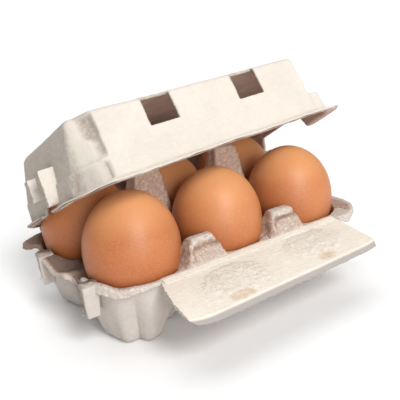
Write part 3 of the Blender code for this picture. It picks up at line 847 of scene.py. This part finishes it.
def make_tray_sheet(inside, outside, edge):
    columns, rows = ((250, 166))
    x, y = spread_even(*tray_grid(columns, rows), 110)
    z = tray_height(x, y)
    places = np.stack([x, y, z], axis=-1)
    steps = np.minimum(np.arange(columns), np.arange(columns)[::-1])[None, :]
    steps = np.minimum(steps, np.minimum(np.arange(rows), np.arange(rows)[::-1])[:, None])
    gap = steps.ravel() * 155.0 / columns
    wobble = unevenness(places, 9.0, 1)
    places[..., 2] += 0.30 * wobble * (z > 26.0) + 0.13 * unevenness(places, 3.5, 2)
    lumps = 0.42 * unevenness(places, 2.4, 5) + 0.3 * unevenness(places, 1.1, 6)
    standing = (z > RIM_Z + 2.0) & (np.abs(y) < POST_REACH) | (z > RIM_Z + 1.5) & (y < KNOB_BACK)
    places[..., 1] -= lumps * standing
    places[..., 0] += 0.5 * lumps * standing
    faces = grid_faces(rows, columns, False).tolist()
    around = list(range(columns)) + [r * columns + columns - 1 for r in range(1, rows)]
    around += [(rows - 1) * columns + c for c in range(columns - 2, -1, -1)]
    around += [r * columns for r in range(rows - 2, 0, -1)]
    points = places.reshape(-1, 3)
    hem, hem_faces = turned_hem(points[around], around, len(points))
    points = np.vstack([points, hem])
    pulp_tone_and_painted_shade = tray_tone_and_painted_shade(points, np.concatenate([gap, np.zeros(len(hem))]))
    tray = new_piece("pulp_tray", points, faces + hem_faces, (inside, outside, edge), {"pulp_tone_and_painted_shade": pulp_tone_and_painted_shade})
    return thicken(tray, WALL, 1, 2)


def lug(name, rings, materials, radius=0.8, place=None):
    """Closed box with soft corners through (outline, height) rings, each anticlockwise from above."""
    levels = np.array([[(px, py, h) for px, py in outline] for outline, h in rings])
    around = soft_path(np.transpose(levels, (1, 0, 2)), [radius] * levels.shape[1], 0.5, True)
    skin = soft_path(np.transpose(around, (1, 0, 2)), [radius] * levels.shape[0], 0.5, False)
    rows, columns = skin.shape[:2]
    points = skin.reshape(-1, 3)
    rough = unevenness(points, 1.6, 4) + 0.6 * unevenness(points, 0.8, 5)
    side = np.clip((points[:, 1].min() + 1.4 - points[:, 1]) / -1.2, 0.25, 1.0)
    points = points + (0.34 * rough * side)[:, None] * np.array([1.0, 0.6, 0.4])
    faces = list(grid_faces(rows, columns, True))
    faces.append(list(range(columns - 1, -1, -1)))
    faces.append([(rows - 1) * columns + c for c in range(columns)])
    if place:
        points = place(points)
    return new_piece(name, points, faces, materials, {"pulp_tone_and_painted_shade": np.zeros(len(points))})


def make_tray(finishes):
    parts = [make_tray_sheet(finishes["rough"], finishes["cup"], finishes["edge"])]
    for i, (front, back, low) in enumerate(((-31.6, -24.6, 18.0), (14.6, 21.8, 17.8))):
        top = ((-78.0, front), (-70.2, front), (-69.0, back), (-76.8, back))
        waist = ((-77.7, front + 0.2), (-70.6, front + 0.2), (-69.4, back - 0.6), (-76.2, back - 1.0))
        tip = ((-77.0, front + 0.5), (-71.0, front + 0.3), (-70.4, back - 2.6), (-75.8, back - 2.8))
        rings = ((tip, low), (waist, low + 5.5), (top, RIM_Z + 0.1))
        parts.append(lug("lug_%d" % i, rings, (finishes["torn"],)))
    for part in parts[1:]:
        face_finish(part, finishes["cup"], Vector((0.0, -1.0, 0.0)))
    tray = join("pulp_tray", parts)
    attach(tray, "tray")
    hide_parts("tray")


def face_finish(obj, mat, direction):
    """Gives the faces that look along a direction another finish."""
    obj.data.materials.append(mat)
    index = len(obj.data.materials) - 1
    for face in obj.data.polygons:
        if face.normal.dot(direction) > 0.55:
            face.material_index = index


# ---------------------------------------------------------------- lid
def open_lid(places):
    """Lid coordinates to carton coordinates, with the lid's twist, raised by LID_OPEN."""
    x, depth, height = places[..., 0], places[..., 1], places[..., 2]
    lift = height + x * math.tan(math.radians(LID_TWIST)) * depth / 100.0
    a = math.radians(LID_OPEN)
    y = HINGE_Y - math.cos(a) * depth + math.sin(a) * lift
    z = HINGE_Z + math.sin(a) * depth + math.cos(a) * lift
    return np.stack([x, y, z], axis=-1)


def lid_ring(height, front, back, left, right, step, front_left, front_right, back_left, panel=PANEL_X):
    """One level of the lid as its corners, anticlockwise from above."""
    xl, xr = panel
    side = front - 1.9 * step - 0.3
    plan = [(xl, front), (xr, front), (xr + 2.6, side), *front_right, (right, 22.0)]
    plan += [(right - 7.0, back + 5.4), (right - 20.0, back), (left + 22.0, back), *back_left]
    plan += [(left, 52.0), *front_left, (xl - 2.6, side)]
    return [(x, depth, height) for x, depth in plan]


def lid_levels():
    """From the edge of the lip, over the skirt and the ledge, to the flat top."""
    sill = LID_FOOT - LID_LEAN * LEDGE_Z
    top = LID_BROW
    lip = (((-76.0, 79.0), (-66.5, 97.5)), ((70.5, 102.0), (77.4, 93.0)), ((-66.0, 5.0), (-76.0, 22.0)))
    foot = (((-72.6, 83.0), (-65.5, 96.0)), ((65.0, 100.0), (73.2, 88.0)), ((-65.5, 6.6), (-72.8, 22.0)))
    below = (((-72.2, 85.0), (-66.0, 95.5)), ((63.6, 98.6), (72.6, 86.0)), ((-65.5, 7.0), (-72.6, 22.4)))
    above = (((-71.2, 86.0), (-66.0, 93.0)), ((61.5, 92.5), (71.8, 80.0)), ((-65.2, 7.0), (-72.0, 22.6)))
    brow = (((-69.8, 90.5), (-65.0, 93.3)), ((58.5, 92.0), (67.6, 80.0)), ((-62.5, 10.0), (-69.8, 31.5)))
    bend = (((-68.2, 89.6), (-63.6, 92.2)), ((57.4, 91.0), (66.0, 79.4)), ((-61.6, 11.2), (-68.2, 32.0)))
    crown = (((-60.0, 76.0), (-58.4, 80.6)), ((49.0, 81.0), (55.8, 72.0)), ((-54.0, 21.0), (-60.0, 36.0)))
    return [
        lid_ring(0.9, LID_DEPTH, 0.4, -76.0, 77.4, 0.0, *lip),
        lid_ring(1.6, LID_DEPTH - 0.2, 0.5, -75.8, 77.2, 0.0, *lip),
        lid_ring(1.7, LID_FOOT - 0.6, 1.4, -72.2, 72.8, 0.0, *foot),
        lid_ring(2.6, LID_FOOT, 1.2, -72.6, 73.2, 0.0, *foot),
        lid_ring(LEDGE_Z, sill, 2.0, -72.2, 72.8, 0.2, *below),
        lid_ring(LEDGE_Z + 0.9, sill - 0.2, 2.2, -71.4, 72.2, 1.0, *above),
        lid_ring(LID_TOP, top, 5.6, -69.8, 67.6, 1.0, *brow),
        lid_ring(LID_TOP + 1.4, top - 1.4, 6.9, -68.2, 66.0, 0.8, *bend),
        lid_ring(LID_CROWN, top - 12.0, 18.0, -60.0, 55.8, 0.0, *crown, (-52.0, 46.0)),
    ]


def lid_skin(spacing):
    """Rows of places over the lid, lip first, closed by rows that shrink to a line along the flat top."""
    levels = np.array(lid_levels())
    corner_radii = (0.7, 0.7, 0.8, 3.0, 5.0, 8.0, 4.0, 8.0, 8.0, 4.0, 4.0, 6.0, 1.6, 2.0, 0.8)
    around = soft_path(np.transpose(levels, (1, 0, 2)), corner_radii, spacing, True)
    bends = (0.3, 0.2, 0.2, 0.3, 0.4, 0.5, 1.2, 2.0, 4.0)
    skin = soft_path(np.transpose(around, (1, 0, 2)), bends, spacing, False)
    edge = skin[-1]
    step = math.ceil(2.0 * spacing)
    along = step * np.round(np.clip(edge[:, 0], -24.0, 22.0) / step)
    spine = np.stack([along, np.full(len(edge), 50.0)], axis=-1)
    caps = []
    for share in np.linspace(0.0, 1.0, 13)[1:]:
        ring = edge.copy()
        ring[:, :2] += (spine - edge[:, :2]) * share
        ring[:, 2] = edge[:, 2] * (1.0 - share) + LID_CROWN * share + 0.4 * math.sin(0.5 * math.pi * share)
        caps.append(ring)
    return np.concatenate([skin, np.array(caps)])


def in_window(p, cx):
    within = (np.abs(p[..., 0] - cx) < 0.5 * WIN_W) & (p[..., 1] > LID_BROW - WIN_BACK)
    return within & (p[..., 2] > LID_TOP - WIN_H)


def to_window(p, cx):
    """Moves places near a window's outline onto it."""
    q = p.copy()
    for side in (-0.5, 0.5):
        near = np.abs(p[:, 0] - cx - side * WIN_W) < 1.0
        q[near, 0] = cx + side * WIN_W
    low = LID_TOP - WIN_H
    near = (np.abs(p[:, 2] - low) < 1.0) & (p[:, 1] > LID_BROW - 1.0)
    q[near, 1] -= LID_LEAN * (low - p[near, 2])
    q[near, 2] = low
    near = (np.abs(p[:, 1] - LID_BROW + WIN_BACK) < 1.0) & (p[:, 2] > LID_TOP)
    q[near, 2] += 0.24 * (p[near, 1] - LID_BROW + WIN_BACK)
    q[near, 1] = LID_BROW - WIN_BACK
    return q


def arch_sides(height):
    """The two depths between which the right end's arch lies, at a height."""
    share = (np.minimum(height, ARCH_TOP) + 3.0) / (ARCH_TOP + 3.0)
    return 30.5 + 5.5 * share, 75.5 - 5.0 * share


def notch_sides(height):
    """The two depths between which the left end's opening lies, at a height."""
    height = np.maximum(height, -1.0)
    return 44.6 + 0.62 * height, 61.6 - 0.1 * height


def under_arch(p, top, sides):
    low, high = sides(p[..., 2])
    return (p[..., 2] < top) & (p[..., 1] > low) & (p[..., 1] < high)


def to_arch(p, top, sides, margin):
    """Moves places near an end opening's outline onto it."""
    q = p.copy()
    low, high = sides(p[:, 2])
    level = (np.abs(p[:, 2] - top) < 0.9) & (p[:, 1] > low + margin) & (p[:, 1] < high - margin)
    q[level, 2] = top
    side = ~level
    q[side, 1] = np.where(p[side, 1] < 0.5 * (low + high)[side], low[side], high[side])
    return q


def lid_openings():
    """For each opening, whether places are inside it, and how places near its outline move onto it."""
    for cx in WIN_X:
        yield lambda p: in_window(p, cx), lambda p: to_window(p, cx)
    right = (ARCH_TOP, arch_sides)
    yield lambda p: (p[..., 0] > 60.0) & under_arch(p, *right), lambda p: to_arch(p, *right, 0.5)
    left = (NOTCH_TOP, notch_sides)
    yield lambda p: (p[..., 0] < -68.0) & under_arch(p, *left), lambda p: to_arch(p, *left, 0.4)

def cut_openings(points, faces):
    """Drops the faces inside each opening and draws the cut's edge onto its outline, slightly ragged."""
    for inside, onto in lid_openings():
        middles = points[faces].mean(axis=1)
        gone = inside(middles)
        border = np.intersect1d(np.unique(faces[gone]), np.unique(faces[~gone]))
        points[border] = onto(points[border])
        points[border] += 0.16 * unevenness(points[border], 1.1, 6)[:, None]
        faces = faces[~gone]
    return points, faces


def band(values, at, wide):
    return np.exp(-(((values - at) / wide) ** 2))


def corner_groove(points):
    """The groove beside the left end of the main panel, from nought to one; it is wide near the top."""
    x, depth, height = points[:, 0], points[:, 1], points[:, 2]
    upper = np.clip((height - 20.5) / 2.5, 0.0, 1.0)
    wide = 1.5 + 1.1 * upper
    along = -61.3 - 0.06 * (height - 13.0) - 0.6 * upper
    ends = np.clip((height - LEDGE_Z - 1.2) / 2.5, 0.0, 1.0)
    ends = ends * np.clip((LID_TOP + 2.6 - height) / 3.0, 0.0, 1.0)
    front = np.clip((depth - 82.0) / 4.0, 0.0, 1.0)
    return (0.7 + 0.3 * upper) * front * ends * np.exp(-(((x - along) / wide) ** 4))


def lid_relief(points):
    """The pressed relief in millimetres outwards: soft waves, the corner's groove, its ledge and creases."""
    x, depth, height = points[:, 0], points[:, 1], points[:, 2]
    relief = 0.32 * unevenness(points, 26.0, 7) + 0.12 * unevenness(points, 7.0, 8)
    relief += 0.05 * unevenness(points, 2.4, 9)
    front = np.clip((depth - 84.0) / 4.0, 0.0, 1.0)
    skirt = front * np.clip((LEDGE_Z - 0.2 - height) / 0.8, 0.0, 1.0) * np.clip((height - 1.8) / 1.4, 0.0, 1.0)
    creases = ((-71.8, 1.0, 1.0), (-68.4, 1.6, 0.4), (-62.3, 1.25, 1.7), (57.6, 1.4, 1.2), (66.0, 2.0, 0.7))
    for at, wide, deep in creases:
        relief -= deep * skirt * band(x, at, wide)
    relief -= 2.6 * corner_groove(points)
    corner = np.clip((-56.5 - x) / 3.0, 0.0, 1.0) + np.clip((x - 55.0) / 3.0, 0.0, 1.0)
    relief += 0.5 * front * corner * band(height, LEDGE_Z + 0.5, 0.55)
    return relief


def lid_painted_shade(points):
    """Painted shade on the outer face, which is also made rougher there: darker in the groove, the skirt's
    creases and on the left end, which faces away from the light.
    """
    x, depth, height = points[:, 0], points[:, 1], points[:, 2]
    shade = 1.1 * corner_groove(points)
    skirt = np.clip((LEDGE_Z - height) / 1.0, 0.0, 1.0) * np.clip((height - 2.0) / 1.0, 0.0, 1.0)
    skirt = (depth > 84.0) * skirt
    shade += skirt * (0.25 * (x < -60.0) + 0.4 * band(x, -62.0, 1.4) + 0.3 * band(x, -71.0, 1.4))
    shade += 0.62 * np.clip((-67.0 - x) / 2.5, 0.0, 1.0) * np.clip((92.0 - depth) / 3.0, 0.0, 1.0)
    return np.clip(shade + 0.12 * unevenness(points, 6.0, 17) * (shade > 0.05), 0.0, 1.0)


def vertex_normals(points, faces):
    a, b, c, d = (points[faces[:, k]] for k in range(4))
    flat = np.cross(c - a, d - b)
    total = np.zeros_like(points)
    for k in range(4):
        np.add.at(total, faces[:, k], flat)
    return total / length_of(total)


def make_lid_sheet(outside, lining, edge):
    skin = lid_skin(1.0)
    rows, columns = skin.shape[:2]
    points = skin.reshape(-1, 3)
    faces = grid_faces(rows, columns, True)
    relief = lid_relief(points)
    relief[:columns] = 0.0
    # painted shade for the lid's outer face, carried to its material
    pits_and_painted_shade = lid_painted_shade(points)
    flip = np.array([1.0, -1.0, 1.0])
    points = points + flip * vertex_normals(points * flip, faces) * relief[:, None]
    lip = points[:, 2] < 2.2
    wave = 0.55 * unevenness(points, 19.0, 14) + 0.2 * unevenness(points, 5.0, 9)
    points[lip, 2] += (wave * np.clip((2.2 - points[:, 2]) / 1.2, 0.0, 1.0))[lip]
    points[:columns, 1] += 0.25 * unevenness(points[:columns], 4.0, 9)
    points, faces = cut_openings(points, faces)
    lid = new_piece("pulp_lid", open_lid(points), faces, (outside, lining, edge), {"pits_and_painted_shade": pits_and_painted_shade})
    merge_close(lid, 0.12)
    return thicken(lid, LID_T, 1, 2)


LID_LUGS = (                 # outline low and high, and the heights of the lug's three rings
    (
        ((-76.4, -62.6), (-70.4, -66.2), (-70.4, -60.0), (-75.6, -57.6)),
        ((-77.4, -65.4), (-70.2, -67.6), (-70.2, -59.2), (-76.8, -58.4)),
        (3.4, 9.0, 19.4),
    ),
    (
        ((-76.2, -44.6), (-70.4, -47.6), (-70.4, -43.0), (-75.4, -40.6)),
        ((-77.0, -47.4), (-70.2, -49.4), (-70.2, -42.0), (-76.4, -41.0)),
        (8.6, 13.0, 19.2),
    ),
)


def make_lid(finishes):
    parts = [make_lid_sheet(finishes["cream"], finishes["lining"], finishes["edge"])]
    front = Vector((0.0, -math.cos(math.radians(LID_OPEN)), math.sin(math.radians(LID_OPEN))))
    for i, (low, high, heights) in enumerate(LID_LUGS):
        rings = tuple(zip((low, high, high), heights))
        parts.append(lug("lid_lug_%d" % i, rings, (finishes["torn"],), 0.5, lid_turned))
        face_finish(parts[-1], finishes["cream"], front)
    lid = join("pulp_lid", parts)
    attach(lid, "lid")
    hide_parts("lid")


def lid_turned(points):
    """Places given with minus the distance as Y, so that rings keep their turning sense."""
    return open_lid(points * np.array([1.0, -1.0, 1.0]))


# ---------------------------------------------------------------- flap
def oval(x, v, cx, cv, wide, tall):
    return ((x - cx) / wide) ** 2 + ((v - cv) / tall) ** 2


def rough_patch(x, v, cx, cv, seed):
    """Torn and pressed patch: overlapping scales with crisp lower edges, within a ragged oval."""
    places = np.stack([x, 27.0 * v, np.full_like(x, 3.0 * seed)], axis=-1)
    ragged = 0.28 * unevenness(places, 5.0, seed)
    inside = np.clip((1.05 + ragged - oval(x, v, cx, cv, *PATCH_REACH)) / 0.3, 0.0, 1.0)
    relief = np.zeros_like(x)
    for spot in np.argwhere(inside > 0.0):
        here = tuple(spot)
        p = places[here]
        wander = 0.7 * noise.noise(Vector(p) / 4.0)
        q = Vector((p[0] / 11.0 + 1.4 * wander, p[1] / 5.6 + 0.8 * wander, seed))
        gaps, centres = noise.voronoi(q)
        fall = q.y - centres[0].y
        crease = min(gaps[1] - gaps[0], 0.2) / 0.2
        strong = 0.5 + 0.5 * noise.noise(Vector(p) / 7.0)
        relief[here] = 0.6 * strong * crease * (0.5 - 0.8 * fall)
        relief[here] += 0.18 * noise.noise(Vector(p) / 2.4) + 0.12 * noise.noise(Vector(p) / 1.0)
    return inside * relief


def flap_places(u, v):
    """Places on the flap's upper face: u runs along the fold, v from the fold to the lip, which is past one."""
    drop = math.radians(FLAP_DROP)
    out = np.minimum(v, 1.0) * (FLAP_LONG[0] + (FLAP_LONG[1] - FLAP_LONG[0]) * u)
    bulge = 5.0 * np.sin(0.5 * math.pi * np.minimum(v, 1.0)) ** 0.8 - 22.0 * np.maximum(0.0, v - 1.0)
    left = FLAP_X[0] - bulge
    x = left + (FLAP_X[1] - left) * u
    y = FOLD_Y - 0.15 - out * math.cos(drop)
    z = RIM_Z - 0.35 - out * math.sin(drop)
    for cx, cv in PATCHES:
        z += 0.9 * np.clip(1.1 - oval(x, v, cx, cv, *PATCH_REACH), 0.0, 1.0)
        z += rough_patch(x, v, cx, cv, int(cx) % 7)
    z += 0.9 * np.clip((u - 0.93) / 0.07, 0.0, 1.0) ** 2 * np.clip(v, 0.0, 1.0)
    z += 0.7 * np.clip((0.07 - u) / 0.07, 0.0, 1.0) ** 2 * np.clip(v, 0.0, 1.0)
    corner = np.clip((0.10 - u) / 0.10, 0.0, 1.0) ** 1.5
    extra = np.maximum(v - 1.0, 0.0) / 0.15
    y -= 1.3 * extra - 2.4 * corner * np.clip((v - 0.75) / 0.3, 0.0, 1.0)
    z -= LIP_DROP * extra ** 0.8
    return np.stack([x, y, z], axis=-1)


def make_flap(finishes):
    across, down, lip = ((271, 76, 10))
    u = np.linspace(0.0, 1.0, across)
    v = np.concatenate([np.linspace(0.0, 0.97, down), np.linspace(0.98, 1.15, lip)])
    vv, uu = np.meshgrid(v, u, indexing="ij")
    places = flap_places(uu, vv)
    rows, columns = places.shape[:2]
    ragged = unevenness(places, 1.5, 11) + 0.6 * unevenness(places, 0.6, 12)
    places[..., 0] += 0.45 * ragged * np.clip(1.0 - uu / 0.012, 0.0, 1.0)
    places[..., 1] += 0.22 * ragged * (vv > 1.14)
    places[..., 2] += 0.22 * unevenness(places, 17.0, 13) * np.clip(vv * 4.0, 0.0, 1.0)
    points = places.reshape(-1, 3)
    x, share = points[:, 0], vv.ravel()
    blur = 0.5 * unevenness(points, 4.0, 15)
    stain = np.clip(1.3 + blur - oval(x, share, -25.7, 0.89, 6.5, 0.10), 0.0, 1.0)
    stain += np.clip(1.2 + blur - oval(x, share, 26.0, 0.85, 6.0, 0.10), 0.0, 1.0)
    worn = np.zeros_like(x)
    for cx, cv in PATCHES:
        reach = 1.3 + 0.5 * unevenness(points, 3.0, 16) - oval(x, share, cx, cv, *PATCH_REACH)
        worn += np.clip(reach / 0.6, 0.0, 1.0)
    faces = grid_faces(rows, columns, False)[:, ::-1]
    # how much painted shade darkens the lip
    lip = 0.95 * np.clip((share - 1.01) / 0.03, 0.0, 1.0)
    materials = (finishes["flap"], finishes["cup"], finishes["edge"])
    flap = new_piece("pulp_flap", points, faces, materials, {"stain": stain, "worn": worn, "lip": lip})
    thicken(flap, FLAP_T, 1, 2)
    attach(flap, "flap")
    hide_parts("flap")


# ---------------------------------------------------------------- floor, light and camera
CAMERA_PLACE = Vector((-173.20, -259.68, 149.91))
CAMERA_AZIMUTH = -34.735
CAMERA_ELEVATION = 18.759
CAMERA_ROLL = -4.538
CAMERA_LENS = 57.79
FLOOR_REACH = 4e4


def make_camera():
    data = bpy.data.cameras.new("camera")
    data.lens = CAMERA_LENS
    data.sensor_width = 36.0
    data.clip_start = 0.01
    camera = bpy.data.objects.new("camera", data)
    a, e, r = (math.radians(v) for v in (CAMERA_AZIMUTH, CAMERA_ELEVATION, CAMERA_ROLL))
    right = Vector((math.cos(a), math.sin(a), 0.0))
    back = Vector((math.sin(a) * math.cos(e), -math.cos(a) * math.cos(e), math.sin(e)))
    up = back.cross(right)
    across = math.cos(r) * right + math.sin(r) * up
    above = -math.sin(r) * right + math.cos(r) * up
    turn = Matrix((across, above, back)).transposed().to_4x4()
    camera.matrix_world = Matrix.Translation((CAMERA_PLACE + SHIFT) * MM) @ turn
    bpy.context.scene.collection.objects.link(camera)
    bpy.context.scene.camera = camera


def sun_light(name, place, strength, softness):
    """Distant light from (angle round from the front, height); softness is the angle it fills."""
    across, up = (math.radians(v) for v in place)
    towards = (math.sin(across) * math.cos(up), -math.cos(across) * math.cos(up), math.sin(up))
    data = bpy.data.lights.new(name, "SUN")
    data.energy = strength
    data.angle = math.radians(softness)
    lamp = bpy.data.objects.new(name, data)
    lamp.rotation_euler = Vector(towards).to_track_quat("Z", "Y").to_euler()
    bpy.context.scene.collection.objects.link(lamp)


def make_studio():
    scene = bpy.context.scene
    scene.view_settings.view_transform = "Standard"
    world = bpy.data.worlds.new("studio")
    world.use_nodes = True
    world.node_tree.nodes["Background"].inputs["Color"].default_value = (1.0, 1.0, 1.0, 1.0)
    world.node_tree.nodes["Background"].inputs["Strength"].default_value = 0.2
    scene.world = world
    corners = [(a * FLOOR_REACH, b * FLOOR_REACH, 0.0) for a, b in ((-1, -1), (1, -1), (1, 1), (-1, 1))]
    new_piece("floor", corners, [(0, 1, 2, 3)], (white_floor(),))
    sun_light("front_softbox", (-3.0, 44.0), 1.72, 22.0)
    sun_light("low_softbox", (-9.0, 18.0), 1.35, 26.0)
    sun_light("overhead_softbox", (172.0, 72.0), 1.3, 55.0)


# ---------------------------------------------------------------- everything
def dress():
    finishes = {
        "cream": smooth_cream_pulp(),
        "flap": flap_pulp(),
        "cup": grey_cup_pulp(),
        "rough": rough_pink_pulp(),
        "lining": brown_lid_lining(),
        "edge": torn_pulp_edge(),
    }
    finishes["torn"] = finishes["edge"]
    make_eggs(brown_eggshell())
    make_tray(finishes)
    make_lid(finishes)
    make_flap(finishes)
    make_hinges(finishes)
    make_fibres(finishes)
    make_studio()
    make_camera()


dress()
